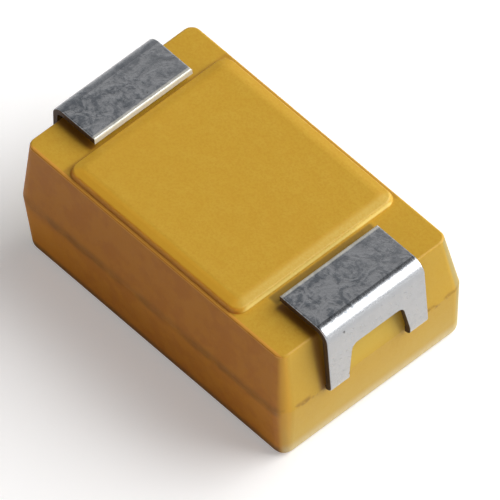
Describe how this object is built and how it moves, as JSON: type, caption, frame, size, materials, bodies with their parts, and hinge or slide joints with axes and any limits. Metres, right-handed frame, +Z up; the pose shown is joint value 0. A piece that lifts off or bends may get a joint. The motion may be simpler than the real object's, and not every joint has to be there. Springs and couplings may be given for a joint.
{
  "type": "surface-mount tantalum capacitor",
  "caption": "Gold-coloured moulded block with flat metal terminals folded round both ends; stores charge on a circuit board.",
  "frame": {"origin": "middle of the flat marked face that the part lies on, at the level of that face", "axes": "+X along the length towards the slotted anode terminal, +Y across the width, +Z up through the pads"},
  "size_m": [0.0073, 0.0044, 0.0029],
  "materials": {
    "case_epoxy": "satin moulded epoxy, gold yellow, with a plain polarity band on the marked face",
    "tinned_strip": "matte tin plate with a fine spangle",
    "sintered_tantalum": "porous sintered metal",
    "tantalum_wire": "drawn wire",
    "washer_plastic": "smooth white plastic",
    "manganese_dioxide": "matte black oxide",
    "graphite": "matte dark grey",
    "silver_paint": "matte silver paint",
    "silver_glue": "cured silver-filled glue"
  },
  "bodies": {
    "root": {"moulded_case": "case_epoxy", "anode_terminal": "tinned_strip", "cathode_terminal": "tinned_strip", "tantalum_pellet": "sintered_tantalum", "riser_wire": "tantalum_wire", "wire_washer": "washer_plastic", "manganese_dioxide_coat": "manganese_dioxide", "graphite_coat": "graphite", "silver_coat": "silver_paint", "silver_adhesive": "silver_glue"}
  },
  "joints": []
}
